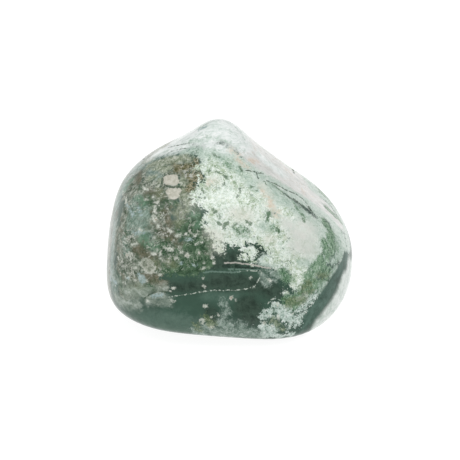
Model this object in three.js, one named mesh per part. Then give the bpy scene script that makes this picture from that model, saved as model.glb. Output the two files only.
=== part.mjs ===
// A tumbled tree agate: one solid stone, worn by tumbling to broad soft faces that meet in rounded
// ridges below a blunt peak.
// Units are millimetres and +Z is up. The stone rests on its flat worn base. The origin lies in that
// base, under the middle of the stone's box. The front of the stone faces -Y and its long side runs
// along X.

import * as THREE from "three";
import { ImprovedNoise } from "three/addons/math/ImprovedNoise.js";
import { mergeVertices } from "three/addons/utils/BufferGeometryUtils.js";

// The worn faces. Azimuth turns from the front (-Y) towards +X and elevation rises from the horizon,
// both in degrees. Reach is the distance in mm from the stone's heart to the face.
const wornFaces = {
  front: { azimuth: 4, elevation: 22, reach: 12.5 },
  frontUpper: { azimuth: -8, elevation: 56, reach: 13.3 },
  frontUnder: { azimuth: -8, elevation: -38, reach: 18.5 },
  frontLeft: { azimuth: -46, elevation: 10, reach: 18.2 },
  frontRight: { azimuth: 46, elevation: 6, reach: 16.3 },
  left: { azimuth: -92, elevation: 4, reach: 16.4 },
  leftShoulder: { azimuth: -70, elevation: 34, reach: 18.1 },
  leftSlope: { azimuth: -102, elevation: 58, reach: 15.1 },
  leftUnder: { azimuth: -66, elevation: -42, reach: 19.1 },
  right: { azimuth: 94, elevation: 0, reach: 17.4 },
  rightSlope: { azimuth: 96, elevation: 52, reach: 11.7 },
  rightUnder: { azimuth: 78, elevation: -44, reach: 18.2 },
  back: { azimuth: 176, elevation: 6, reach: 10.5 },
  backLeft: { azimuth: -136, elevation: 10, reach: 16 },
  backRight: { azimuth: 134, elevation: 0, reach: 16.5 },
  backUpper: { azimuth: -178, elevation: 46, reach: 14.2 },
  backUnder: { azimuth: 172, elevation: -46, reach: 12.7 },
  baseFront: { azimuth: -20, elevation: -76, reach: 10.8 },
  baseBack: { azimuth: 160, elevation: -80, reach: 9.7 },
};

// How tightly the worn faces turn into each other: a higher power gives sharper ridges.
const ridgePower = 10;

// Gentle swells and hollows on top of the faces: height in mm, and spread in degrees as seen from
// the heart.
const swells = {
  peak: { azimuth: -175, elevation: 79, height: 1.7, spread: 15 },
  peakBack: { azimuth: -172, elevation: 60, height: 0.9, spread: 18 },
  backHollow: { azimuth: 150, elevation: 22, height: -0.5, spread: 20 },
  leftUnderHollow: { azimuth: -118, elevation: -20, height: -0.5, spread: 17 },
};

// The slow unevenness that tumbling leaves: height and wavelength in mm.
const unevenness = { height: 0.12, wavelength: 6.5 };

// The flat resting face: its depth in mm below the heart, a little above the base's lowest point,
// and the height over which the sides curve into it.
const restFace = { depth: 9, blend: 0.3 };

// Each edge of the starting icosahedron is cut into meshDetail + 1 pieces.
const meshDetail = 18;

const noise = new ImprovedNoise();

// The unit vector that points from the heart at an azimuth and elevation.
function towards({ azimuth, elevation }) {
  const a = THREE.MathUtils.degToRad(azimuth);
  const e = THREE.MathUtils.degToRad(elevation);
  return new THREE.Vector3(Math.sin(a) * Math.cos(e), -Math.cos(a) * Math.cos(e), Math.sin(e));
}

const faceNormals = Object.values(wornFaces).map((face) => ({
  normal: towards(face),
  reach: face.reach,
}));
const swellAxes = Object.values(swells).map((swell) => ({
  axis: towards(swell),
  height: swell.height,
  spread: THREE.MathUtils.degToRad(swell.spread),
}));

// Distance in mm from the heart to the smooth meeting of all the worn faces.
function wornRadius(direction) {
  let sum = 0;
  for (const { normal, reach } of faceNormals) {
    const share = Math.max(0, direction.dot(normal)) / reach;
    sum += share ** ridgePower;
  }
  return sum ** (-1 / ridgePower);
}

// Height in mm that the swells and hollows add along a direction.
function swellHeight(direction) {
  let height = 0;
  for (const swell of swellAxes) {
    const angle = direction.angleTo(swell.axis);
    height += swell.height * Math.exp(-((angle / swell.spread) ** 2));
  }
  return height;
}

// Slow bumps, fading out towards the base so that it stays flat.
function unevenHeight(point) {
  const aboveRest = THREE.MathUtils.smoothstep(point.z + restFace.depth, 0, unevenness.wavelength);
  const place = point.clone().divideScalar(unevenness.wavelength);
  return unevenness.height * aboveRest * noise.noise(place.x, place.y, place.z);
}

// Depth below the heart once the resting face has been worn flat, rounded where it begins.
function restedDepth(depth) {
  const { depth: flat, blend } = restFace;
  if (depth > flat + blend) {
    return flat;
  }
  const start = Math.max(0, depth - flat + blend);
  return depth - start ** 2 / (4 * blend);
}

// The point of the stone's surface that lies along a direction from its heart.
function surfacePoint(direction) {
  const radius = wornRadius(direction) + swellHeight(direction);
  const point = direction.clone().multiplyScalar(radius);
  point.addScaledVector(direction, unevenHeight(point));
  if (point.z < 0) {
    point.multiplyScalar(restedDepth(-point.z) / -point.z);
  }
  return point;
}

// The stone's closed surface, moved so that it stands on z = 0 with its box centred on the origin.
function stoneGeometry() {
  const ball = new THREE.IcosahedronGeometry(1, meshDetail);
  ball.deleteAttribute("normal");
  ball.deleteAttribute("uv");
  const geometry = mergeVertices(ball, 1e-5);
  const position = geometry.getAttribute("position");
  const direction = new THREE.Vector3();
  for (let i = 0; i < position.count; i++) {
    direction.fromBufferAttribute(position, i).normalize();
    const point = surfacePoint(direction);
    position.setXYZ(i, point.x, point.y, point.z);
  }
  geometry.computeBoundingBox();
  const middle = geometry.boundingBox.getCenter(new THREE.Vector3());
  geometry.translate(-middle.x, -middle.y, restFace.depth);
  geometry.computeVertexNormals();
  return geometry;
}

const agate = new THREE.MeshStandardMaterial({
  color: new THREE.Color(0.52, 0.62, 0.55),
  roughness: 0.15,
  metalness: 0,
});

const stone = new THREE.Mesh(stoneGeometry(), agate);
stone.name = "tumbled_stone";

const part = new THREE.Group();
part.add(stone);

export default part;
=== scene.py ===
import math

import bmesh
import bpy
import numpy as np
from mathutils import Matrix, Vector
from mathutils.bvhtree import BVHTree


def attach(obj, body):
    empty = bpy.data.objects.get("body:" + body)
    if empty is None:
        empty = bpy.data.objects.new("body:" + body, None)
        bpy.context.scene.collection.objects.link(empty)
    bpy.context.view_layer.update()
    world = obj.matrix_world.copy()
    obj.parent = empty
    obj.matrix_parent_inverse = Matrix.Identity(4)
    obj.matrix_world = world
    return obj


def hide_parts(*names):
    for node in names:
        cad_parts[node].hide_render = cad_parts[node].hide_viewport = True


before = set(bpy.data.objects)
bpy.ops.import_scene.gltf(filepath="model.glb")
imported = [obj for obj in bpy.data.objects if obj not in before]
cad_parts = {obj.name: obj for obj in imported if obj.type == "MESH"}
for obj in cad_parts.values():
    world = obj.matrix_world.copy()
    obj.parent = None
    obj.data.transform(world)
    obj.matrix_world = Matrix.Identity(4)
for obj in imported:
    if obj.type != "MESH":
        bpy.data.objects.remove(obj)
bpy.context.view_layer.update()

# Tree agate tumbled stone. Lengths are in mm unless a note says otherwise.

mm = 0.001


# Camera

cameraSet = {
    "target": (0.047, -0.576, 11.503),  # shown at the middle of the picture
    "elevation": 30,  # degrees above the horizon
    "distance": 270,
    "lens": 156,
    "sensor": 36,
    "picture": 460,  # pixels
    "clip": (0.01, 20),  # metres
}


def cameraAxes():
    tilt = math.radians(cameraSet["elevation"])
    back = Vector((0, -math.cos(tilt), math.sin(tilt)))
    up = Vector((0, math.sin(tilt), math.cos(tilt)))
    return Vector((1, 0, 0)), up, back


def makeCamera():
    right, up, back = cameraAxes()
    data = bpy.data.cameras.new("stoneCamera")
    data.lens = cameraSet["lens"]
    data.sensor_width = cameraSet["sensor"]
    data.clip_start, data.clip_end = cameraSet["clip"]
    camera = bpy.data.objects.new("stoneCamera", data)
    bpy.context.scene.collection.objects.link(camera)
    camera.location = (Vector(cameraSet["target"]) + back * cameraSet["distance"]) * mm
    camera.rotation_euler = (-back).to_track_quat("-Z", "Y").to_euler()
    bpy.context.scene.camera = camera


makeCamera()
print("camera set")


# Wiring for shader and geometry trees

class Wire:
    # an output socket, with arithmetic that adds Math nodes
    def __init__(self, tree, socket=None):
        self.tree = tree
        self.socket = socket

    def make(self, kind, settings=None, inputs=None, output=0):
        made = self.tree.nodes.new(kind)
        for name, value in (settings or {}).items():
            if name == "stops":
                setStops(made.color_ramp, value)
            else:
                setattr(made, name, value)
        for name, value in (inputs or {}).items():
            if isinstance(value, Wire):
                self.tree.links.new(value.socket, made.inputs[name])
            elif value is not None:
                made.inputs[name].default_value = value
        return Wire(self.tree, made.outputs[output])

    def math(self, operation, *values):
        return self.make("ShaderNodeMath", {"operation": operation}, dict(enumerate(values)))

    def __add__(self, other):
        return self.math("ADD", self, other)

    def __sub__(self, other):
        return self.math("SUBTRACT", self, other)

    def __mul__(self, other):
        return self.math("MULTIPLY", self, other)

    def __truediv__(self, other):
        return self.math("DIVIDE", self, other)

    def __neg__(self):
        return self.math("MULTIPLY", self, -1)

    def __radd__(self, other):
        return self.math("ADD", other, self)

    def __rsub__(self, other):
        return self.math("SUBTRACT", other, self)

    def __rmul__(self, other):
        return self.math("MULTIPLY", other, self)

    def __rtruediv__(self, other):
        return self.math("DIVIDE", other, self)

    def size(self):
        return self.math("ABSOLUTE", self)

    def step(self, low, high):
        # 0 below low, 1 above high, smooth between
        return self.make(
            "ShaderNodeMapRange",
            {"interpolation_type": "SMOOTHSTEP"},
            {"Value": self, "From Min": low, "From Max": high},
            "Result",
        )


def setStops(ramp, stops):
    while len(ramp.elements) > 1:
        ramp.elements.remove(ramp.elements[-1])
    ramp.elements[0].position, ramp.elements[0].color = stops[0]
    for place, colour in stops[1:]:
        ramp.elements.new(place).color = colour


# Skin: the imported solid, subdivided, with its facets smoothed away

skin = {
    "name": "polished_stone",
    "level": 2,  # subdivisions
    "weld": 0.001,  # vertices closer than this are one
    "smoothing": 8,  # passes over the facets
    "swell": 0.03,  # slow unevenness of the polish
    "swellSize": 2.2,
    "swellDetail": 2.0,
    "rest": (0.1, 1.5),  # heights between which the unevenness fades in above the base
}

relief = {
    "cut": 0.09,  # depth of the open fissures
    "cutWidth": 1.8,  # in half widths of the line
    "inset": 0.05,  # how far the two tan crystals lie below the polish
    "pit": 0.03,  # depth of the small pits in the frost
    "pitSize": 0.7,
    "pitEdge": (0.35, 0.1),  # from the rim to the bottom of a pit, in pit sizes
    "cutEnd": (-0.4, 0.1),  # how a fissure runs out past its ends
    "insetEdge": (-0.1, 0.1),  # across the edge of the crystals
    "frostEdge": (0.0, 0.8),  # how the pits begin inside the frost
}


def mergedCopy(source, name):
    # the CAD mesh is loose triangles, so a copy is merged before it is smoothed
    mesh = bpy.data.meshes.new(name)
    build = bmesh.new()
    build.from_mesh(source.data)
    bmesh.ops.remove_doubles(build, verts=build.verts, dist=skin["weld"] * mm)
    bmesh.ops.recalc_face_normals(build, faces=build.faces)
    build.to_mesh(mesh)
    build.free()
    piece = bpy.data.objects.new(name, mesh)
    bpy.context.scene.collection.objects.link(piece)
    return piece


def startTree(name, sizes):
    # a geometry tree with named inputs, given as {name: (socket kind, value)}
    tree = bpy.data.node_groups.new(name, "GeometryNodeTree")
    face = tree.interface
    face.new_socket("Geometry", in_out="INPUT", socket_type="NodeSocketGeometry")
    face.new_socket("Geometry", in_out="OUTPUT", socket_type="NodeSocketGeometry")
    for label, (kind, value) in sizes.items():
        face.new_socket(label, in_out="INPUT", socket_type=kind).default_value = value
    start = tree.nodes.new("NodeGroupInput")
    given = {socket.name: Wire(tree, socket) for socket in start.outputs if socket.name}
    return tree, given, Wire(tree)


def endTree(tree, work, shape, material):
    smooth = work.make("GeometryNodeSetShadeSmooth", {}, {0: shape, "Shade Smooth": True})
    solid = work.make("GeometryNodeRealizeInstances", {}, {0: smooth})
    dressed = work.make("GeometryNodeSetMaterial", {}, {0: solid, "Material": material})
    finish = tree.nodes.new("NodeGroupOutput")
    tree.links.new(dressed.socket, finish.inputs["Geometry"])
    return tree


def skinTree(material):
    tree, given, work = startTree(
        "polishedSkin",
        {
            "Level": ("NodeSocketInt", skin["level"]),
            "Smoothing": ("NodeSocketInt", skin["smoothing"]),
            "Swell": ("NodeSocketFloat", skin["swell"] * mm),
            "Swell Size": ("NodeSocketFloat", skin["swellSize"] * mm),
        },
    )
    fine = work.make(
        "GeometryNodeSubdivisionSurface", {}, {"Mesh": given["Geometry"], "Level": given["Level"]}
    )
    place = work.make("GeometryNodeInputPosition")
    calm = work.make(
        "GeometryNodeBlurAttribute",
        {"data_type": "FLOAT_VECTOR"},
        {"Value": place, "Iterations": given["Smoothing"]},
        "Value",
    )
    calmed = work.make("GeometryNodeSetPosition", {}, {"Geometry": fine, "Position": calm})
    height = work.make(
        "ShaderNodeTexNoise",
        {},
        {"Vector": place, "Scale": 1.0 / given["Swell Size"], "Detail": skin["swellDetail"]},
    )
    low, high = skin["rest"]
    clear = work.make("ShaderNodeSeparateXYZ", {}, {0: place}, "Z").step(low * mm, high * mm)
    push = work.make(
        "ShaderNodeVectorMath",
        {"operation": "SCALE"},
        {0: work.make("GeometryNodeInputNormal"), "Scale": (height - 0.5) * given["Swell"] * clear},
    )
    swelled = work.make("GeometryNodeSetPosition", {}, {"Geometry": calmed, "Offset": push})
    return endTree(tree, work, swelled, material)


def reliefTree(material):
    # cuts the fissures, the crystals and small pits into the skin, from the fields stored on it
    tree, given, work = startTree(
        "stoneRelief",
        {
            "Cut": ("NodeSocketFloat", relief["cut"] * mm),
            "Cut Width": ("NodeSocketFloat", relief["cutWidth"]),
            "Inset": ("NodeSocketFloat", relief["inset"] * mm),
            "Pit": ("NodeSocketFloat", relief["pit"] * mm),
            "Pit Size": ("NodeSocketFloat", relief["pitSize"] * mm),
        },
    )

    def stored(name):
        return work.make("GeometryNodeInputNamedAttribute", {"data_type": "FLOAT"}, {"Name": name})

    cut = (stored("fissureAcross").size() / given["Cut Width"]).step(1.0, 0.0)
    cut = cut * stored("fissureAlong").step(*relief["cutEnd"])
    inset = stored("tan").step(*relief["insetEdge"])
    spots = work.make(
        "ShaderNodeTexVoronoi",
        {},
        {"Vector": work.make("GeometryNodeInputPosition"), "Scale": 1.0 / given["Pit Size"]},
        "Distance",
    )
    pits = spots.step(*relief["pitEdge"])
    pits = pits * stored("frost").step(*relief["frostEdge"])
    depth = cut * given["Cut"] + inset * given["Inset"] + pits * given["Pit"]
    push = work.make(
        "ShaderNodeVectorMath",
        {"operation": "SCALE"},
        {0: work.make("GeometryNodeInputNormal"), "Scale": -depth},
    )
    carved = work.make(
        "GeometryNodeSetPosition", {}, {"Geometry": given["Geometry"], "Offset": push}
    )
    return endTree(tree, work, carved, material)


def growMesh(piece, tree):
    # runs a node tree on the piece with the tree's own sizes and keeps the result as a plain mesh
    live = piece.modifiers.new(tree.name, "NODES")
    live.node_group = tree
    for socket in tree.interface.items_tree:
        if socket.in_out == "INPUT" and hasattr(socket, "default_value"):
            live[socket.identifier] = socket.default_value
    depsgraph = bpy.context.evaluated_depsgraph_get()
    ready = piece.evaluated_get(depsgraph)
    mesh = bpy.data.meshes.new_from_object(
        ready, preserve_all_data_layers=True, depsgraph=depsgraph
    )
    piece.modifiers.clear()
    piece.data = mesh


# Growths in the stone, a few of them partly painted reflection and shade, painted in this order, each
# over the ones before it.
#
# A stroke is (radius, x, y, x, y, ...) in pixels of the picture, each 0.139 mm wide: a round brush
# drawn through those places on the stone. "add" strokes lie on the side that the picture shows and
# "less" strokes are taken away again. "far" strokes lie on the hidden sides, as (radius, azimuth,
# elevation, ...), with the angles in degrees as seen from the stone's middle.
#
# "tones" are screen colours, from the dark to the light end of a mottle with a grain of "grain" mm,
# drawn out by "stretch" and turned by "turn" degrees. A growth without tones keeps the colour below
# it. "ragged" and "fine" are how far large and small noise moves the edge, and "soft" is half the
# width of the edge, in mm. "share" is how well the growth covers.
#
# "specks" are (grain, low, high, colour, cover): spots where a noise passes low, full at high.
# "threads" are (grain, width, colour, cover): thin crooked lines that gather in clusters.

growths = {
    "clear": {  # clear teal chalcedony along the foot
        "tones": [(66, 90, 78), (80, 104, 92), (88, 112, 99)],
        "grain": 3.0, "ragged": 1.5, "fine": 0.0, "soft": 0.9,
        "add": [(14, 150, 322, 186, 323), (9, 122, 308, 134, 316), (5, 205, 296, 236, 296)],
        "far": [(30, -120, -20, -160, -30), (24, 150, -35, 175, -40)],
    },
    "bottle": {  # the darkest green, partly the stone's own colour and partly painted shade
        "tones": [(50, 64, 56), (62, 78, 68), (70, 88, 77)],
        "grain": 1.2, "ragged": 1.8, "fine": 0.6, "soft": 0.7,
        "add": [
            (9, 216, 281, 258, 285), (12, 247, 306, 252, 314), (6, 172, 288, 204, 286),
            (8, 262, 284, 276, 294), (8, 210, 261, 240, 259), (6, 210, 312, 214, 318),
            (5, 260, 250, 262, 258),
        ],
        "far": [(26, -150, 8, -170, 20)],
    },
    "mixed": {  # brown, olive and grey moss of the left side
        "tones": [(60, 74, 58), (92, 104, 89), (116, 126, 112), (146, 154, 141), (180, 186, 175)],
        "grain": 0.8, "ragged": 2.4, "fine": 0.6, "soft": 0.25,
        "specks": [(1.6, 0.52, 0.62, (104, 104, 84), 0.6), (1.2, 0.54, 0.62, (70, 92, 72), 0.7)],
        "threads": [(1.5, 0.035, (184, 188, 176), 0.8), (1.1, 0.03, (58, 74, 58), 0.7)],
        "add": [
            (22, 158, 186, 150, 214), (10, 128, 192, 142, 174), (8, 130, 190, 140, 196),
            (22, 136, 212, 130, 250), (18, 128, 266, 146, 268), (14, 166, 236, 166, 258),
            (9, 124, 291, 158, 287), (12, 184, 168, 176, 164), (9, 188, 200, 186, 226),
            (9, 184, 250, 203, 257), (8, 112, 230, 112, 268), (8, 196, 240, 204, 246),
        ],
        "far": [
            (34, -104, 10, -112, 35), (22, -128, 45, -140, 20), (26, -78, 8, -98, -4, -122, 4),
            (10, -66, 14, -66, -8, -64, -22), (13, -72, -22, -92, -24, -112, -18),
            (12, -150, 2, -160, 24),
        ],
    },
    "greyVeil": {  # smooth blue-grey skin of the upper left edge
        "tones": [(88, 112, 100), (126, 148, 138), (172, 186, 180)],
        "grain": 0.7, "ragged": 3.0, "fine": 1.0, "soft": 0.7, "share": 0.9, "stretch": (1, 1, 2),
        "threads": [(1.1, 0.04, (190, 200, 198), 0.7), (1.3, 0.03, (78, 98, 86), 0.6)],
        "add": [
            (7, 126, 182, 136, 170, 146, 162, 160, 156), (7, 163, 154, 190, 150),
            (6, 120, 194, 114, 232, 112, 262, 114, 288), (5, 150, 170, 158, 176),
        ],
        "far": [(10, -98, 44, -112, 24), (7, -84, -14, -80, 6), (6, -132, 6, -138, 18)],
    },
    "tealVeil": {  # teal-grey haze of the left side
        "tones": [(78, 104, 88), (112, 138, 124), (156, 176, 166)],
        "grain": 0.45, "stretch": (1, 1, 2.2), "turn": (0, 12, 0), "ragged": 3.0, "fine": 0.8,
        "soft": 0.5, "share": 0.75,
        "threads": [(1.2, 0.03, (176, 190, 182), 0.6)],
        "add": [
            (9, 136, 202, 132, 226), (6, 146, 208, 140, 230), (5, 148, 234, 138, 233),
            (4, 124, 240, 126, 250),
        ],
        "far": [(9, -112, 8, -118, -8), (6, -92, 16, -88, 30), (7, -78, -8, -74, -18), (6, -146, 16)],
    },
    "mossDark": {  # deep green between the left side's moss
        "tones": [(50, 72, 54), (68, 92, 70), (94, 120, 94)],
        "grain": 0.75, "ragged": 3.4, "fine": 1.2, "soft": 0.3,
        "specks": [(0.5, 0.6, 0.66, (136, 152, 132), 0.8)],
        "threads": [(1.3, 0.03, (150, 164, 146), 0.6)],
        "add": [
            (9, 192, 212, 196, 226), (10, 184, 228, 194, 236), (7, 168, 246, 176, 254),
            (9, 192, 248, 206, 244), (8, 182, 262, 204, 262), (5, 160, 244, 164, 252),
            (4, 162, 211, 160, 218), (6, 166, 268, 200, 270), (4, 148, 196, 152, 204),
            (3, 166, 201, 177, 203), (3, 128, 182, 132, 178), (5, 142, 290, 156, 283),
            (3, 118, 275, 122, 290),
        ],
        "far": [(9, -140, 34, -146, 22), (8, -96, -12, -106, -2), (5, -86, 6, -84, 16), (6, -122, 34)],
    },
    "fern": {  # brighter green tufts on the left
        "tones": [(70, 104, 80), (92, 128, 102), (118, 150, 126)],
        "grain": 0.5, "ragged": 3.0, "fine": 1.0, "soft": 0.4, "share": 0.7,
        "add": [
            (4.5, 147, 243, 154, 247), (4, 131, 181, 126, 188), (4, 140, 240, 143, 236),
            (3, 144, 204, 138, 198), (3, 193, 214, 196, 216), (3, 200, 222, 198, 226),
        ],
        "far": [(6, -126, 12), (5, -96, 22, -100, 28), (4, -88, -18), (4, -152, 10)],
    },
    "rust": {  # brown stains
        "tones": [(76, 74, 58), (96, 92, 74), (128, 120, 100)],
        "grain": 0.5, "ragged": 3.2, "fine": 1.4, "soft": 0.4, "share": 0.65,
        "add": [
            (3, 140, 172, 138, 182), (4, 165, 212, 171, 224), (3, 158, 222, 164, 236),
            (5, 138, 250, 150, 258), (5, 150, 276, 162, 284), (4, 148, 192, 158, 193),
            (3, 168, 228, 174, 240),
        ],
        "far": [
            (5, -118, 28, -110, 30), (4, -80, -2, -84, 4), (5, -104, -14), (4, -134, 26), (4, -76, 20),
        ],
    },
    "ochre": {  # golden-brown moss beside the tan crystals
        "tones": [(44, 50, 30), (74, 78, 50), (106, 104, 74), (176, 172, 148)],
        "grain": 0.4, "ragged": 2.8, "fine": 1.4, "soft": 0.2,
        "threads": [(0.9, 0.035, (196, 190, 168), 0.6)],
        "add": [
            (5, 178, 168, 194, 167), (6, 190, 178, 198, 177), (5, 186, 190, 191, 187),
            (3, 172, 161, 176, 166), (3, 196, 160, 200, 170),
        ],
    },
    "olive": {  # soft olive patches
        "tones": [(84, 98, 72), (112, 122, 94), (150, 157, 132)],
        "grain": 0.4, "ragged": 2.6, "fine": 0.8, "soft": 0.5, "share": 0.7,
        "add": [
            (5, 176, 213, 184, 210), (4, 179, 222, 176, 222), (3, 168, 262, 174, 264),
            (4, 152, 262, 156, 266), (4, 158, 190, 160, 196), (4, 130, 290, 142, 288),
        ],
        "far": [(5, -90, -4), (5, -128, -2), (4, -106, 40)],
    },
    "lichen": {  # pale grey-green crust of the upper left
        "tones": [(92, 106, 82), (142, 152, 130), (196, 200, 186)],
        "grain": 0.6, "ragged": 3.4, "fine": 1.4, "soft": 0.4, "share": 0.9,
        "add": [
            (5, 157, 168, 166, 169), (4, 175, 158, 190, 158), (3, 155, 176, 150, 178),
            (3, 160, 181, 158, 184), (5, 184, 196, 188, 203), (6, 150, 166, 186, 158),
            (4, 183, 180, 182, 188),
        ],
        "far": [(7, -104, 46, -120, 48), (5, -94, 2, -98, 10), (5, -140, 8)],
    },
    "paleBand": {  # pale grey-green bank above the clear foot
        "tones": [(108, 122, 109), (144, 156, 144), (184, 193, 184)],
        "grain": 0.9, "ragged": 2.4, "fine": 0.8, "soft": 0.8, "share": 0.9, "stretch": (2, 1, 1),
        "add": [
            (4, 150, 297, 163, 297), (3, 148, 301, 168, 301), (6, 128, 292, 146, 293),
            (3, 158, 289, 164, 288), (5, 116, 297, 122, 302, 136, 304), (2.5, 113, 278, 118, 281),
        ],
        "far": [(5, -74, -30, -90, -30), (4, -104, -26, -116, -22), (4, -134, -8)],
    },
    "grit": {  # fine light and dark marks over all the moss of the left side
        "ragged": 2.0, "fine": 0.6, "soft": 0.4,
        "specks": [(0.6, 0.56, 0.66, (56, 72, 56), 0.5), (0.6, 0.62, 0.7, (186, 192, 178), 0.4)],
        "threads": [(1.5, 0.035, (206, 208, 198), 0.7), (1.3, 0.04, (52, 68, 54), 0.55)],
        "add": [
            (16, 160, 196, 150, 218), (18, 138, 210, 134, 246), (12, 128, 262, 146, 264),
            (12, 166, 236, 166, 254), (8, 188, 174, 184, 166), (8, 188, 200, 186, 226),
        ],
        "far": [(30, -104, 10, -112, 35), (22, -80, 4, -122, 4)],
    },
    "mist": {  # pale mint ground of the whole upper right
        "tones": [(170, 189, 177), (194, 208, 198), (210, 219, 211)],
        "grain": 0.6, "ragged": 2.6, "fine": 1.2, "soft": 0.35,
        "specks": [(0.45, 0.6, 0.66, (120, 150, 122), 0.7)],
        "add": [
            (18, 218, 164, 238, 180), (18, 254, 184, 284, 204), (20, 300, 222, 322, 236),
            (14, 322, 254, 314, 266), (13, 338, 232, 342, 250), (8, 206, 154, 218, 156),
            (10, 314, 206, 334, 222), (13, 248, 166, 300, 198), (8, 318, 214, 322, 222),
            (7, 345, 228, 347.5, 238, 348, 247), (6, 230, 152, 240, 160), (6, 264, 260, 282, 266),
        ],
        "less": [(5, 319, 270, 326, 276, 318, 284)],
        "far": [
            (40, 140, 20, 170, 30), (26, 110, 14, 124, 4), (26, 100, 30, 110, 45),
            (12, 78, 32, 84, 20, 88, 8), (10, 96, 14, 96, 6),
        ],
    },
    "slope": {  # pinkish white skin of the far slope, partly the stone's own colour and partly a painted reflection of the overhead light
        "tones": [(197, 201, 197), (216, 217, 213), (229, 229, 226)],
        "grain": 0.6, "ragged": 2.4, "fine": 1.4, "soft": 0.45, "stretch": (3, 1.4, 1),
        "turn": (0, 32, 0),
        "specks": [(0.6, 0.58, 0.68, (198, 194, 182), 0.6), (0.45, 0.64, 0.7, (184, 160, 132), 0.5)],
        "add": [
            (17, 252, 155, 276, 172), (17, 276, 172, 304, 190), (15, 304, 190, 324, 206),
            (9, 326, 206, 338, 222),
        ],
        "less": [(7, 223, 159, 239, 175, 257, 186, 280, 201, 302, 214, 314, 229)],
        "far": [(34, 120, 55, 150, 60), (26, 104, 40, 124, 40)],
    },
    "peak": {  # pale grey-white top, partly the stone's own colour and partly a painted reflection of the overhead light
        "tones": [(196, 208, 201), (218, 226, 222), (230, 235, 233), (237, 240, 238)],
        "grain": 0.6, "ragged": 3.4, "fine": 1.2, "soft": 0.9, "stretch": (4, 1.4, 1),
        "turn": (0, -8, 0),
        "threads": [(1.2, 0.03, (182, 198, 188), 0.5)],
        "add": [
            (18, 206, 134, 222, 128, 240, 140), (9, 158, 153, 176, 147, 190, 142),
            (8, 208, 147, 222, 149), (8, 262, 158, 280, 172),
        ],
        "far": [(30, 180, 70, -170, 55), (24, -120, 66, -150, 60)],
    },
    "frost": {  # the large mint-white moss
        "tones": [(184, 202, 187), (209, 221, 210), (224, 233, 225), (234, 239, 233)],
        "grain": 0.42, "ragged": 3.8, "fine": 1.8, "soft": 0.14,
        "specks": [
            (0.7, 0.56, 0.66, (202, 212, 190), 0.7), (0.4, 0.6, 0.67, (158, 178, 148), 0.8),
            (0.3, 0.62, 0.68, (104, 128, 104), 0.8),
        ],
        "threads": [(0.8, 0.05, (158, 178, 144), 0.7), (1.2, 0.04, (124, 148, 116), 0.65)],
        "add": [
            (13, 217, 178, 234, 186), (14, 212, 198, 222, 208), (16, 236, 198, 252, 206),
            (13, 221, 222, 240, 226), (15, 258, 222, 274, 232), (8, 207, 170, 206, 188),
            (2.4, 196, 167, 198, 168), (5, 196, 196, 200, 191), (3.5, 196, 203, 200, 200),
            (6, 210, 216, 211, 228), (6, 217, 236, 224, 238), (4, 216, 246, 220, 249),
            (6, 232, 239, 254, 238), (4.5, 247, 250, 252, 252), (3, 243, 256, 246, 257),
            (9, 262, 236, 276, 246), (8, 278, 256, 290, 256), (10, 296, 240, 302, 252),
            (9, 296, 264, 299, 271), (9, 297, 274, 298, 283), (5, 297, 289, 298, 290),
            (9, 304, 227, 311, 240), (7, 310, 249, 312, 254), (7, 281, 243, 287, 247),
            (5, 286, 262, 289, 263), (6, 282, 210, 292, 216), (9, 228, 166, 244, 178),
            (8, 210, 160, 214, 164), (7, 262, 196, 266, 206), (3, 275, 268, 284, 268),
            (2.5, 253, 258, 253, 261), (2.2, 289, 292, 284, 293), (2.5, 267, 261, 272, 262),
        ],
        "less": [
            (2.4, 200, 173, 202, 178), (2, 200, 158, 204, 160), (1.8, 200, 231, 204, 234),
            (3, 196, 206, 199, 214), (2, 262, 252, 264, 258), (2.6, 203, 238, 211, 241),
            (2, 205, 250, 212, 247), (1.6, 222, 243, 225, 246),
        ],
        "far": [(26, 140, 25, 165, 12), (20, 110, -5, 128, 5), (24, 175, 38, 160, 45)],
    },
    "mint": {  # grey-green shading of the frost below the ridge
        "tones": [(134, 160, 144), (174, 194, 180), (208, 220, 211)],
        "grain": 0.45, "stretch": (2, 1.2, 1), "turn": (0, 25, 0), "ragged": 3.6, "fine": 1.4,
        "soft": 0.5, "share": 0.8,
        "specks": [(0.4, 0.58, 0.66, (104, 132, 112), 0.8)],
        "add": [
            (5, 192, 150, 204, 152, 222, 158), (1.2, 201, 128, 206, 124),
            (0.9, 206, 137, 222, 140, 236, 147), (1.4, 182, 152, 200, 146), (0.9, 190, 142, 206, 141),
            (6, 224, 161, 240, 171), (5, 246, 178, 256, 186), (6, 272, 188, 284, 200),
            (5, 288, 200, 300, 208), (4, 262, 226, 272, 228), (3, 236, 230, 246, 232),
            (4, 300, 262, 310, 262), (2.5, 306, 216, 312, 222),
        ],
    },
    "blush": {  # pinkish cream tint in the frost
        "tones": [(206, 208, 194), (216, 216, 204), (226, 222, 210)],
        "grain": 1.2, "ragged": 2.5, "fine": 0.5, "soft": 0.9, "share": 0.6,
        "add": [
            (6, 236, 214, 246, 216), (5, 210, 232, 219, 238), (3, 211, 180, 216, 180),
            (4, 262, 186, 268, 196), (4, 270, 202, 274, 211), (3, 268, 240, 272, 240),
            (3, 214, 246, 219, 249),
        ],
    },
    "smooth": {  # smooth grey-pink field on the right
        "tones": [(199, 206, 198), (207, 211, 204), (214, 215, 209)],
        "grain": 1.6, "ragged": 2.6, "fine": 0.6, "soft": 1.1, "share": 0.9,
        "add": [
            (9, 297, 234, 310, 240), (8, 302, 226, 312, 230), (7, 296, 246, 312, 251),
            (5, 286, 224, 296, 228),
        ],
    },
    "cream": {  # orange-tan stains along the ridge
        "tones": [(196, 168, 138), (208, 190, 168), (220, 210, 198)],
        "grain": 0.4, "ragged": 3.4, "fine": 1.8, "soft": 0.5, "share": 0.6,
        "add": [
            (1.8, 231, 150, 238, 155), (1.8, 239, 160, 247, 168), (1.5, 261, 190, 264, 193),
            (2, 269, 197, 271, 206), (1.2, 208, 184, 210, 184), (1.2, 287, 170, 292, 175),
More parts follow.
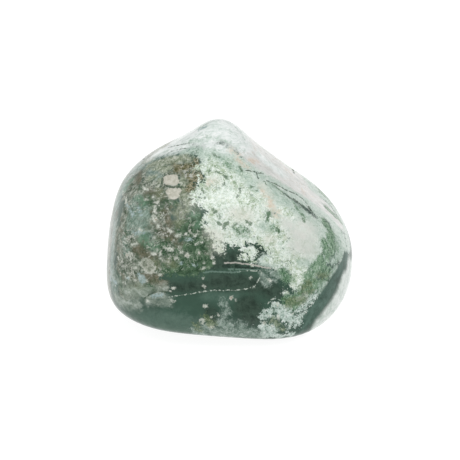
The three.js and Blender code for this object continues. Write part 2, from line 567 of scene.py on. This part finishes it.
            (1.2, 303, 190, 304, 194), (1.2, 311, 195, 312, 196), (2, 250, 160, 258, 162),
            (2, 273, 208, 276, 214),
        ],
    },
    "leaf": {  # leaf-green moss of the right side
        "tones": [(58, 88, 64), (86, 120, 92), (114, 146, 116), (162, 184, 162)],
        "grain": 0.45, "ragged": 3.4, "fine": 1.8, "soft": 0.35, "share": 0.95, "stretch": (1, 1, 1.8),
        "specks": [(0.45, 0.61, 0.68, (184, 202, 186), 0.7)],
        "threads": [(1.2, 0.03, (180, 198, 182), 0.5)],
        "add": [
            (7, 325, 223, 331, 232), (7, 331, 238, 332, 250), (6, 325, 244, 328, 256),
            (9, 321, 264, 316, 271), (9, 312, 279, 326, 275), (7, 306, 287, 318, 284),
            (6, 299, 294, 312, 291), (7, 288, 301, 303, 300), (5, 291, 308, 300, 305),
            (4, 338, 244, 337, 258), (5, 281, 273, 287, 278), (2.5, 295, 205, 300, 212),
            (2, 302, 214, 303, 218), (2, 275, 186, 282, 192), (2.2, 269, 214, 268, 219),
            (2.5, 240, 228, 245, 232), (2, 274, 226, 279, 231), (2.5, 226, 163, 231, 166),
        ],
        "less": [(1.5, 318, 276, 323, 276)],
        "far": [
            (8, 106, 4, 114, 14), (6, 152, -4, 160, 0), (5, 128, -6), (4, 176, 4), (5, 92, 8, 94, 16),
            (4, 140, 34),
        ],
    },
    "comma": {  # short dark green marks in the frost
        "tones": [(72, 96, 74), (104, 130, 104)],
        "grain": 0.6, "ragged": 0.9, "fine": 0.7, "soft": 0.08, "share": 0.8,
        "add": [
            (1.2, 216, 172, 222, 174, 227, 178), (1.2, 211, 209, 213, 209.5), (1.1, 214, 213, 216, 211),
            (1.3, 219, 216, 220, 218), (1.4, 218.5, 223, 221, 225), (1.5, 224, 228, 225, 224, 228, 222),
            (1.2, 233, 226, 237, 224), (1.2, 247, 228, 248.5, 232),
            (0.9, 240, 188, 240.5, 194, 237, 197), (1.5, 267, 219, 269, 213),
            (1.2, 277, 228, 278.5, 231), (1, 251, 186, 252, 187), (1, 249, 193, 252, 195),
            (1, 257, 191), (1, 257, 222), (1.1, 240, 167, 242, 171), (1.2, 284, 193, 289, 197),
            (1.3, 294, 200, 299, 203), (1, 202, 189, 204, 193), (1, 208, 173, 211, 169),
            (1.2, 236, 229, 240, 233), (1.3, 246, 221, 250, 224), (1, 205, 198),
            (1.2, 302, 216, 303, 220), (1, 222, 186, 225, 183), (1, 231, 164, 234, 166),
            (1, 212, 154, 220, 158), (1, 262, 179, 266, 184),
        ],
    },
    "mintEdge": {  # fine mint mottling beside the teal band
        "tones": [(124, 148, 132), (160, 180, 166), (198, 210, 202)],
        "grain": 0.45, "ragged": 3.2, "fine": 1.6, "soft": 0.3, "share": 0.9,
        "specks": [(0.4, 0.58, 0.66, (112, 140, 118), 0.8)],
        "add": [
            (5, 339, 240, 341, 256), (4, 336, 268, 331, 276), (4, 322, 287, 326, 284),
            (4, 333, 262, 337, 256), (3, 318, 292, 322, 289),
        ],
        "far": [(8, 102, 2, 104, -6), (6, 118, -8, 130, -12), (5, 168, -6)],
    },
    "teal": {  # clear dark band down the right side
        "tones": [(48, 74, 62), (64, 92, 80), (80, 108, 96)],
        "grain": 1.8, "ragged": 1.2, "fine": 0.6, "soft": 0.22,
        "add": [
            (7, 346, 258, 335, 280), (8, 335, 280, 323, 300), (8, 323, 300, 308, 320),
            (7, 308, 320, 294, 335),
        ],
        "far": [(10, 108, -6, 124, -12)],
    },
    "pale": {  # pale rim at the lower right: painted reflection of the bright room along the thin edge
        "tones": [(186, 199, 190), (212, 220, 214), (228, 233, 229)],
        "grain": 1.6, "ragged": 1.0, "fine": 0.3, "soft": 0.6,
        "add": [
            (22, 355, 282, 350, 294, 342, 306, 332, 319, 318, 332),
            (10, 345, 280, 340, 295, 331, 310, 319, 324), (5, 349, 262, 348, 272),
        ],
        "less": [(6, 342, 260, 333, 278, 320, 298, 305, 317, 293, 331)],
        "far": [(9, 84, -22, 96, -26), (7, 114, -26, 126, -32)],
    },
    "cloud": {  # bluish-white clusters of the foot
        "tones": [(124, 148, 134), (172, 190, 180), (200, 213, 206), (218, 226, 221)],
        "grain": 0.45, "ragged": 3.8, "fine": 1.8, "soft": 0.12,
        "specks": [(0.4, 0.58, 0.65, (84, 108, 90), 0.8), (0.7, 0.62, 0.7, (206, 206, 194), 0.8)],
        "add": [
            (5, 266, 315, 278, 312), (7, 284, 315, 293, 320), (5, 291, 324, 297, 323),
            (5, 263, 327, 276, 329), (3.5, 282, 308, 290, 310), (4, 300, 308, 308, 302),
            (4, 311, 298, 315, 295), (2.5, 299, 298, 306, 295), (4, 262, 334, 290, 335),
            (3, 300, 314, 304, 308), (2.5, 272, 306, 276, 304),
        ],
        "less": [
            (1.3, 278, 326, 280, 321), (1.1, 284, 325, 286, 321), (1.2, 300, 314, 303, 311),
            (1.3, 275, 314, 276, 317), (2, 288, 304, 294, 306),
        ],
        "far": [
            (8, 62, -46, 80, -52), (5, -160, 2, -168, -4), (6, 178, -22, -172, -26), (5, -148, -22),
            (4, 152, -22), (4, 138, -18),
        ],
    },
    "haze": {  # soft blue-grey wisps near the foot, and a painted reflection of the floor along the bottom edge
        "tones": [(96, 116, 104), (140, 158, 147), (184, 196, 188)],
        "grain": 0.6, "ragged": 3.6, "fine": 1.4, "soft": 0.5, "share": 0.85,
        "add": [
            (2.6, 223, 303, 226, 311), (5, 222, 324, 230, 327), (2.5, 240, 327, 242, 325),
            (6, 196, 332, 214, 335), (7, 218, 333, 256, 335), (4, 206, 328, 212, 329),
            (2.5, 225, 313, 224, 318), (4, 268, 270, 276, 276), (3, 262, 277, 268, 282),
            (4, 160, 331, 184, 336),
        ],
        "far": [
            (6, -168, 12, -156, 4), (5, 170, -14, -176, -16), (5, -140, -16, -128, -20), (5, 110, -18),
            (4, -100, -34),
        ],
    },
    "tan": {  # the two tan crystals
        "tones": [(172, 171, 156), (190, 189, 176), (206, 204, 194)],
        "grain": 0.5, "ragged": 0.5, "fine": 0.3, "soft": 0.08,
        "threads": [(0.9, 0.02, (160, 158, 140), 0.5)],
        "add": [
            (4, 166, 178.5, 174, 178), (3.8, 168, 181.5, 175.5, 181.5), (3.8, 169.5, 191.5, 177.5, 191),
            (4, 172, 195.5, 175.5, 195.5),
        ],
    },
    "bead": {  # light round inclusions
        "tones": [(118, 128, 112), (180, 187, 174), (210, 214, 204), (224, 226, 218)],
        "grain": 0.28, "ragged": 0.6, "fine": 0.8, "soft": 0.12, "share": 0.92,
        "add": [
            (1.8, 126, 199, 126.5, 203), (1.1, 123, 194), (1.1, 128, 209), (1, 135, 211),
            (1.6, 143, 187, 146, 189), (1.1, 148, 190), (0.9, 145, 199, 148, 200),
            (0.9, 152, 197, 154, 197), (1.3, 144.5, 209.5), (1.4, 155, 207, 155, 211),
            (2, 154, 217, 156, 221), (1.3, 158, 225, 159, 228), (0.9, 153, 212),
            (1.1, 168, 229, 172, 232), (1.8, 177, 236, 180, 235), (0.9, 174, 240),
            (1.3, 178.5, 247, 179, 249), (1.3, 181, 252), (1.2, 186, 234), (0.9, 188, 239),
            (0.9, 194, 236, 196, 235), (0.8, 196, 244, 202, 242), (0.9, 198, 231), (2.4, 187.5, 255),
            (1.6, 199, 253), (1.8, 212.5, 257.5), (1.3, 204, 263), (1.1, 203, 268, 205, 267),
            (0.9, 177, 258), (1, 180, 262), (1.1, 194, 265), (1, 203, 278), (0.8, 203, 285, 205, 288),
            (1.3, 160, 275), (1, 157, 272), (1.8, 127, 255), (1.2, 130, 260), (1.2, 134, 268, 136, 268),
            (0.9, 133.5, 274), (1.5, 128, 278), (1.1, 123, 282, 125, 283), (1.6, 115, 285),
            (1.5, 147, 301), (2, 140, 277, 143, 280), (1.3, 147, 281), (1, 132, 245, 134, 244),
            (0.9, 137, 243), (0.9, 147, 252), (1.3, 152, 254, 155, 254), (1, 164, 247, 168, 250),
            (0.9, 160, 254, 161, 258), (1.8, 204, 306.5, 206, 306.5), (1, 170, 291),
            (1, 172, 288, 175, 288), (1.8, 231, 298), (1.1, 232, 296), (1, 236, 300),
            (1.8, 201, 320, 204, 320), (1.6, 217.5, 315), (1.3, 211, 317), (1.8, 210, 326.5, 213, 327),
            (1.2, 202, 324), (1.8, 264, 323), (1.2, 278, 316, 279, 320), (1, 270, 321, 272, 320),
            (1, 251, 278), (0.9, 254, 287), (0.9, 268, 280, 271, 281), (0.9, 171, 300, 174, 301),
            (1.1, 300, 204), (1, 214, 263), (1.4, 139, 229, 142, 231), (1, 133, 226),
            (1.2, 118, 257, 119, 260), (1, 120, 272), (1.2, 170, 248, 172, 250),
        ],
        "far": [
            (2, -118, 15), (1.6, -126, 22), (1.4, -112, 30), (2.2, -134, 8), (1.6, -108, -8),
            (1.2, -121, 17), (1.3, -99, 18), (1.8, -94, -8), (1.2, -90, 12), (1.5, -86, 28),
            (1.3, -104, 34), (1.1, -82, -16), (1.4, -128, -6), (1.2, -142, 26), (1.6, -150, 14),
            (1.2, -146, -4), (1.3, -160, -12), (1.8, 176, -18), (1.2, 170, -24), (1.4, -170, -20),
            (1.3, 150, -16), (1.1, 142, -12), (1.5, -114, -20), (1.2, -98, -24),
        ],
    },
    "ring": {  # the large round inclusion, a light ring with a grey heart
        "tones": [(168, 174, 160), (190, 194, 182), (208, 209, 199)],
        "grain": 0.5, "ragged": 1.0, "fine": 0.9, "soft": 0.12, "share": 0.85,
        "add": [(6, 146, 264, 149, 268)],
    },
    "ringHeart": {  # the grey heart of the ring
        "tones": [(92, 102, 86), (128, 136, 120), (160, 166, 152)],
        "grain": 0.4, "ragged": 1.6, "fine": 1.2, "soft": 0.15,
        "add": [(4.5, 146, 263.5, 148.5, 266.5)],
    },
    "ice": {  # bluish inclusions
        "tones": [(116, 138, 134), (152, 172, 170), (184, 198, 198)],
        "grain": 0.35, "ragged": 1.4, "fine": 1.4, "soft": 0.15, "share": 0.9,
        "add": [
            (2.4, 139, 276, 143, 280), (1.3, 181, 263), (1.3, 192, 265, 195, 266),
            (1.3, 186, 240, 192, 239), (1.5, 134, 233, 144, 232), (1.2, 128, 278),
            (1.6, 110, 278, 116, 283), (1.8, 153, 296, 161, 295), (1.2, 127, 204, 134, 216),
            (1.2, 138, 207, 141, 214), (1.5, 199, 130, 205, 127),
        ],
    },
    "ringPip": {  # a light spot in the ring's heart
        "tones": [(150, 156, 142), (190, 192, 180)],
        "grain": 0.4, "ragged": 1.2, "fine": 0.8, "soft": 0.12, "share": 0.8,
        "add": [(1.6, 147, 262, 149, 265), (1.2, 146, 269)],
    },
    "beadHeart": {  # darker hearts of the round inclusions
        "tones": [(132, 116, 98), (160, 144, 126)],
        "grain": 0.5, "ragged": 0.8, "fine": 0.4, "soft": 0.12, "share": 0.8,
        "add": [
            (1, 187.5, 255), (0.8, 199, 253), (0.8, 127, 255), (0.8, 231, 298), (0.7, 144.5, 209.5),
            (0.8, 156, 220),
        ],
    },
    "mossGold": {  # olive moss among the leaf green, low on the right
        "tones": [(62, 80, 56), (96, 114, 80), (148, 158, 128)],
        "grain": 0.4, "ragged": 3.2, "fine": 1.8, "soft": 0.3, "share": 0.75,
        "add": [
            (5, 289, 303, 303, 300), (3, 301, 294, 312, 291), (3.5, 303, 288, 309, 284),
            (2.5, 318, 276, 328, 276), (2, 276, 322, 282, 330), (1.5, 272, 318, 270, 322),
            (3, 206, 318, 212, 324), (2, 196, 325, 200, 330),
        ],
    },
    "slit": {  # painted shade in the hollow under the pink seam
        "tones": [(38, 52, 45), (54, 70, 62)],
        "grain": 0.8, "ragged": 0.9, "fine": 0.5, "soft": 0.12,
        "add": [(1.4, 224, 266, 232, 266.5), (1.8, 236, 267, 248, 268), (1.2, 252, 269, 260, 269.5)],
    },
}


# Fine lines. A stroke is (half width, x, y, x, y, ...), placed like the strokes above. "wander" is how
# crooked a line is and "thickness" how wide, both in half widths. "gaps" is the beading noise at which
# a line goes from broken to full width.

hairlines = {
    "fissure": {  # dark cracks
        "tone": (66, 84, 68), "share": 0.85, "wander": 2.6, "gaps": (0.36, 0.62), "thickness": 2.6,
        "add": [
            (0.6, 161, 186.5, 172, 187, 182, 187),
            (0.5, 268, 181, 274, 183, 280, 186.5, 286, 190, 296, 194, 303, 199, 309, 206),
            (1.1, 307.5, 206, 312, 212, 317, 217), (0.9, 284, 193, 290, 198),
            (1.1, 294, 199, 299, 203, 303, 207), (0.5, 247, 170.5, 256, 172, 263, 173.5),
            (0.4, 257, 173, 258, 178), (0.4, 167, 148, 178, 145, 190, 143), (0.3, 172, 151, 186, 148),
            (0.4, 322, 198, 331, 206, 336, 214), (0.4, 145, 298, 150, 294, 157, 291.5, 165, 292),
            (0.5, 163, 176, 162, 183),
        ],
        "far": [(0.6, 120, 33, 130, 28, 138, 29), (0.6, -112, 38, -122, 33, -130, 34)],
    },
    "seam": {  # broken light lines
        "tone": (190, 200, 188), "share": 0.8, "wander": 2.2, "gaps": (0.46, 0.64), "thickness": 2.3,
        "add": [
            (0.35, 166, 297.5, 174, 296, 183, 295, 195, 293, 203, 291.5, 213, 290.5, 226, 290.3, 236,
             290.3, 246, 289, 254, 287, 257, 283.5, 260, 277, 262.5, 271.5),
            (0.35, 239, 271.5, 252, 270.5, 262, 271), (0.35, 269, 302, 272, 298.5),
            (0.35, 271, 301, 274, 298),
        ],
        "far": [
            (0.45, -128, -10, -142, -9, -156, -12, -170, -11, 178, -14),
            (0.45, 164, -10, 154, -12, 146, -10),
        ],
    },
    "vein": {  # unbroken light lines
        "tone": (186, 184, 176), "share": 0.8, "wander": 1.4, "gaps": (0.2, 0.62), "thickness": 2.0,
        "add": [(0.5, 226, 263, 235, 262.7, 245, 264, 256, 265.3, 264, 267.5, 269, 268)],
        "far": [(0.5, 152, 12, 162, 14, 170, 12)],
    },
    "trace": {  # faint grey-green lines
        "tone": (112, 136, 124), "share": 0.7, "wander": 1.4, "gaps": (0.2, 0.62), "thickness": 2.0,
        "add": [
            (0.5, 205, 272.5, 212, 271.5, 222, 272, 232, 272.5, 240, 271.5),
            (0.4, 230, 269, 250, 269.5, 260, 269.5),
        ],
        "far": [(0.5, -140, -14, -158, -16, -172, -15)],
    },
}


# Laying the strokes and lines on the stone, in mm

brushSet = {
    "outside": -6.0,  # depth kept where no stroke is near
    "farLine": 9.0,  # kept where no line is near
    "lineEnd": 0.35,  # how far a line counts past its path
    "rayStart": 60,  # distance from the middle at which rays to the hidden sides start
}

tiny = 1e-9  # keeps a stroke of no length from dividing by zero


class Brush:
    # finds places on the stone and measures how far each vertex lies inside the strokes
    def __init__(self, piece):
        mesh = piece.data
        spots = np.zeros(len(mesh.vertices) * 3, np.float32)
        mesh.vertices.foreach_get("co", spots)
        self.mesh = mesh
        self.spots = spots.reshape(-1, 3).astype(float) / mm
        self.middle = self.spots.mean(0)
        self.tree = BVHTree.FromObject(piece, bpy.context.evaluated_depsgraph_get())
        self.pixel = (
            cameraSet["sensor"] / cameraSet["lens"] / cameraSet["picture"] * cameraSet["distance"]
        )

    def seen(self, x, y):
        # the place on the stone at a picture coordinate, or the nearest one beside its outline
        right, up, back = cameraAxes()
        half = cameraSet["picture"] / 2
        start = (Vector(cameraSet["target"]) + back * cameraSet["distance"]) * mm
        aim = right * (x - half) - up * (y - half) - back * (cameraSet["distance"] / self.pixel)
        aim.normalize()
        hit = self.tree.ray_cast(start, aim)
        if hit[0] is None:
            distance = (Vector(self.middle) * mm - start).dot(aim)
            hit = self.tree.find_nearest(start + aim * distance)
        return np.array(hit[0]) / mm, np.array(hit[1])

    def hidden(self, azimuth, elevation):
        a, e = math.radians(azimuth), math.radians(elevation)
        aim = Vector((math.sin(a) * math.cos(e), -math.cos(a) * math.cos(e), math.sin(e)))
        hit = self.tree.ray_cast((Vector(self.middle) + aim * brushSet["rayStart"]) * mm, -aim)
        return np.array(hit[0]) / mm, np.array(hit[1])

    def paths(self, strokes, locate):
        for radius, *numbers in strokes:
            path = [locate(*pair) for pair in zip(numbers[::2], numbers[1::2])]
            for (a, facing), (b, _) in zip(path, path[1:] or path):
                yield radius * self.pixel, a, b, facing

    def away(self, a, b):
        # the distance of each vertex from the line between two places
        along = b - a
        share = np.clip((self.spots - a) @ along / max(along @ along, tiny), 0, 1)
        return np.linalg.norm(self.spots - a - share[:, None] * along, axis=1)

    def depth(self, strokes, locate):
        best = np.full(len(self.spots), brushSet["outside"])
        for radius, a, b, _ in self.paths(strokes, locate):
            best = np.maximum(best, radius - self.away(a, b))
        return best

    def keep(self, name, values):
        layer = self.mesh.attributes.new(name, "FLOAT", "POINT")
        layer.data.foreach_set("value", values.astype(np.float32))

    def paint(self, name, growth):
        depth = self.depth(growth.get("add", []), self.seen)
        depth = np.maximum(depth, self.depth(growth.get("far", []), self.hidden))
        depth = np.minimum(depth, -self.depth(growth.get("less", []), self.seen))
        self.keep(name, depth)

    def draw(self, name, lines):
        # keeps how far each vertex lies across the nearest line, in half widths, and how near it is
        nearest = np.full(len(self.spots), brushSet["farLine"])
        across = nearest
        along = -nearest
        drawn = [*self.paths(lines["add"], self.seen), *self.paths(lines["far"], self.hidden)]
        for half, a, b, facing in drawn:
            run = (b - a) / max(np.linalg.norm(b - a), tiny)
            side = np.cross(run, facing)
            away = self.away(a, b)
            closer = away < nearest
            nearest = np.where(closer, away, nearest)
            across = np.where(closer, (self.spots - a) @ side / half, across)
            along = np.where(closer, brushSet["lineEnd"] - away, along)
        self.keep(name + "Across", across)
        self.keep(name + "Along", along)


# Tree agate

agate = {
    "ior": 1.54,
    "roughness": 0.15,
    "gloss": 0.3,
    "glare": 0.016,  # what the room's reflection adds to every colour, linear
    "light": 1.08,  # how brightly the studio lights the stone
    "heart": [(60, 82, 71), (70, 94, 81)],  # screen colours of the clear stone below all growths
    "heartEdge": (0.35, 0.65),
    "darkest": 0.003,  # limits of a base colour, linear
    "lightest": 0.95,
    "polish": 0.06,  # unevenness of the roughness
}

# noises of the whole pattern: size in mm, detail, roughness, distortion, seed
noises = {
    "edge": (0.8, 6, 0.75, 0.5, 1),
    "edgeFine": (0.25, 3, 0.65, 0.8, 2),
    "cluster": (2.4, 3, 0.6, 0.3, 20),
    "clusterFine": (0.7, 2, 0.5, 0.5, 23),
    "wander": (0.7, 3, 0.6, 0, 21),
    "beading": (0.3, 2, 0.5, 0, 22),
    "heart": (5, 3, 0.5, 0.0, 3),
    "polish": (1.5, 4, 0.6, 0, 5),
}

clusterEdge, clusterFineEdge = (0.42, 0.56), (0.44, 0.5)  # where the threads begin and are full

# noises inside a growth, which take their size from it; neighbours in the order get other seeds
mottling = {"detail": 5, "roughness": 0.8, "range": (0.38, 0.62), "seed": 3, "seeds": 4}
mottleTwist = (0.45, 0.9)  # distortion of a mottle of 1 mm, and the most there is
speckling = {"detail": 2, "roughness": 0.55, "distortion": 1.4, "seed": 8, "seeds": 3}
threading = {"detail": 2, "roughness": 0.6, "distortion": 1.6, "seed": 12, "seeds": 3}
threadEdge = (1.4, 0.4)  # in widths of the thread
lineEdge = (-0.5, 0.5)  # across a fine line's side, in half widths
lineFade = (0.0, 0.15)  # at its ends, in mm


def tone(red, green, blue):
    # the base colour that shows as this screen colour, 0 to 255, in the studio's light
    def base(c):
        c /= 255
        linear = c / 12.92 if c <= 0.04045 else ((c + 0.055) / 1.055) ** 2.4
        own = (linear - agate["glare"]) / agate["light"]
        return min(max(own, agate["darkest"]), agate["lightest"])

    return base(red), base(green), base(blue), 1.0


stride = (7.3, 3.1, 5.7)  # mm between the places of two seeds


class Paint:
    # the material's own nodes, on Object coordinates in mm
    def __init__(self, tree):
        self.work = Wire(tree)
        corner = self.work.make("ShaderNodeTexCoord", {}, {}, "Object")
        self.place = self.work.make(
            "ShaderNodeVectorMath", {"operation": "SCALE"}, {0: corner, "Scale": 1 / mm}
        )
        self.kept = {}

    def moved(self, seed, stretch, turn):
        # a seed is a step along "stride", far enough to show other noise
        return self.work.make(
            "ShaderNodeMapping",
            {"vector_type": "TEXTURE"},
            {
                "Vector": self.place,
                "Location": [seed * step for step in stride],
                "Rotation": [math.radians(a) for a in turn],
                "Scale": stretch,
            },
        )

    def noise(self, size, detail, roughness, distortion, seed, stretch=(1, 1, 1), turn=(0, 0, 0)):
        key = (size, detail, roughness, distortion, seed, stretch, turn)
        if key not in self.kept:
            self.kept[key] = self.work.make(
                "ShaderNodeTexNoise",
                {},
                {
                    "Vector": self.moved(seed, stretch, turn),
                    "Scale": 1 / size,
                    "Detail": detail,
                    "Roughness": roughness,
                    "Distortion": distortion,
                },
            )
        return self.kept[key]

    def field(self, name):
        return self.work.make("ShaderNodeAttribute", {"attribute_name": name}, {}, "Fac")

    def blend(self, share, below, above):
        return self.work.make(
            "ShaderNodeMix", {"data_type": "RGBA"}, {0: share, 6: below, 7: above}, 2
        )

    def ramp(self, share, stops):
        return self.work.make("ShaderNodeValToRGB", {"stops": stops}, {0: share}, "Color")


def spread(tones):
    # the tones share the range in which the mottle noise mostly lies
    low, high = mottling["range"]
    gap = (high - low) / (len(tones) - 1)
    return [(low + gap * order, tone(*shown)) for order, shown in enumerate(tones)]


def inner(paint, kind, order, size, distortion, laid=()):
    seed = kind["seed"] + order % kind["seeds"]
    return paint.noise(size, kind["detail"], kind["roughness"], distortion, seed, *laid)


def paintGrowths(paint, colour):
    edges = paint.noise(*noises["edge"]) - 0.5
    edgesFine = paint.noise(*noises["edgeFine"]) - 0.5
    clusters = paint.noise(*noises["cluster"]).step(*clusterEdge)
    clusters = clusters * paint.noise(*noises["clusterFine"]).step(*clusterFineEdge)
    for order, (name, growth) in enumerate(growths.items()):
        inside = paint.field(name) + edges * growth["ragged"] + edgesFine * growth["fine"]
        share = inside.step(-growth["soft"], growth["soft"]) * growth.get("share", 1.0)
        laid = (growth.get("stretch", (1, 1, 1)), growth.get("turn", (0, 0, 0)))
        own = colour
        if "tones" in growth:
            twist, most = mottleTwist
            twist = min(most, twist / growth["grain"])
            mottle = inner(paint, mottling, order, growth["grain"], twist, laid)
            own = paint.ramp(mottle, spread(growth["tones"]))
        for size, low, high, shown, cover in growth.get("specks", []):
            specks = inner(paint, speckling, order, size, speckling["distortion"]).step(low, high)
            own = paint.blend(specks * cover, own, tone(*shown))
        for size, width, shown, cover in growth.get("threads", []):
            middle = inner(paint, threading, order, size, threading["distortion"], laid) - 0.5
            thread = middle.size().step(*(width * edge for edge in threadEdge))
            own = paint.blend(thread * clusters * cover, own, tone(*shown))
        colour = paint.blend(share, colour, own)
    return colour


def paintLines(paint, colour):
    wander = paint.noise(*noises["wander"]) - 0.5
    beading = paint.noise(*noises["beading"])
    for name, lines in hairlines.items():
        across = (paint.field(name + "Across") + wander * lines["wander"]).size()
        width = beading.step(*lines["gaps"]) * lines["thickness"]
        line = (width - across).step(*lineEdge) * paint.field(name + "Along").step(*lineFade)
        colour = paint.blend(line * lines["share"], colour, tone(*lines["tone"]))
    return colour


def makeAgate():
    material = bpy.data.materials.new("treeAgate")
    material.use_nodes = True
    tree = material.node_tree
    tree.nodes.clear()
    paint = Paint(tree)
    depth = paint.noise(*noises["heart"]).step(*agate["heartEdge"])
    colour = paint.blend(depth, *(tone(*shown) for shown in agate["heart"]))
    colour = paintGrowths(paint, colour)
    colour = paintLines(paint, colour)
    roughness = agate["roughness"] + agate["polish"] * paint.noise(*noises["polish"])
    shader = paint.work.make(
        "ShaderNodeBsdfPrincipled",
        {},
        {
            "Base Color": colour,
            "Roughness": roughness,
            "IOR": agate["ior"],
            "Specular IOR Level": agate["gloss"],
        },
    )
    out = tree.nodes.new("ShaderNodeOutputMaterial")
    tree.links.new(shader.socket, out.inputs["Surface"])
    return material


# Studio

studio = {
    "floorSize": 6000,
    "floorTone": (0.2, 0.2, 0.2, 1),
    "floorGlow": 0.92,  # light that the floor adds of its own
    "floorRoughness": 0.9,
    "floorGloss": 0.1,
    "horizonLight": 0.4,
    "zenithLight": 0.95,
    "skyRise": (0.0, 0.9),  # from the horizon's light to the zenith's, as a share of straight up
    "lampAim": (0, 0, 10),
}

lamps = {  # azimuth and elevation in degrees from the stone, distance and size in mm, power in watts
    "overheadBox": {"azimuth": 0, "elevation": 64, "distance": 700, "size": 300, "power": 1.0},
    "leftBox": {"azimuth": -75, "elevation": 35, "distance": 700, "size": 420, "power": 0.7},
    "rightBox": {"azimuth": 80, "elevation": 40, "distance": 700, "size": 420, "power": 0.7},
}


def makeFloor():
    half = studio["floorSize"] / 2 * mm
    mesh = bpy.data.meshes.new("studioFloor")
    mesh.from_pydata(
        [(-half, -half, 0), (half, -half, 0), (half, half, 0), (-half, half, 0)], [], [(0, 1, 2, 3)]
    )
    floor = bpy.data.objects.new("studioFloor", mesh)
    bpy.context.scene.collection.objects.link(floor)
    paper = bpy.data.materials.new("palePaper")
    paper.use_nodes = True
    surface = paper.node_tree.nodes["Principled BSDF"]
    surface.inputs["Base Color"].default_value = studio["floorTone"]
    surface.inputs["Roughness"].default_value = studio["floorRoughness"]
    surface.inputs["Specular IOR Level"].default_value = studio["floorGloss"]
    surface.inputs["Emission Color"].default_value = (1, 1, 1, 1)
    surface.inputs["Emission Strength"].default_value = studio["floorGlow"]
    mesh.materials.append(paper)


def makeRoom():
    # a plain room, brighter overhead than at the horizon
    room = bpy.data.worlds.new("studioRoom")
    room.use_nodes = True
    work = Wire(room.node_tree)
    toward = work.make("ShaderNodeTexCoord", {}, {}, "Generated")
    height = work.make("ShaderNodeSeparateXYZ", {}, {0: toward}, "Z").step(*studio["skyRise"])
    rise = studio["zenithLight"] - studio["horizonLight"]
    background = room.node_tree.nodes["Background"]
    background.inputs["Color"].default_value = (1, 1, 1, 1)
    room.node_tree.links.new(
        (height * rise + studio["horizonLight"]).socket, background.inputs["Strength"]
    )
    bpy.context.scene.world = room


def makeLamps():
    centre = Vector(studio["lampAim"]) * mm
    for name, lamp in lamps.items():
        a, e = math.radians(lamp["azimuth"]), math.radians(lamp["elevation"])
        away = Vector((math.sin(a) * math.cos(e), -math.cos(a) * math.cos(e), math.sin(e)))
        data = bpy.data.lights.new(name, "AREA")
        data.shape = "DISK"
        data.size = lamp["size"] * mm
        data.energy = lamp["power"]
        box = bpy.data.objects.new(name, data)
        bpy.context.scene.collection.objects.link(box)
        box.location = centre + away * lamp["distance"] * mm
        box.rotation_euler = (-away).to_track_quat("-Z", "Y").to_euler()


def setView():
    bpy.context.scene.view_settings.view_transform = "Standard"
    bpy.context.scene.view_settings.look = "None"


# Build

treeAgate = makeAgate()
print("material wired:", len(treeAgate.node_tree.nodes), "nodes")

stone = mergedCopy(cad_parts["tumbled_stone"], skin["name"])
growMesh(stone, skinTree(treeAgate))
print("skin smoothed:", len(stone.data.polygons), "faces")

brush = Brush(stone)
for name, growth in growths.items():
    brush.paint(name, growth)
for name, lines in hairlines.items():
    brush.draw(name, lines)
print("growths painted")

growMesh(stone, reliefTree(treeAgate))
print("relief cut")

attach(stone, "root")
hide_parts("tumbled_stone")

makeFloor()
makeRoom()
makeLamps()
setView()
print("studio ready")
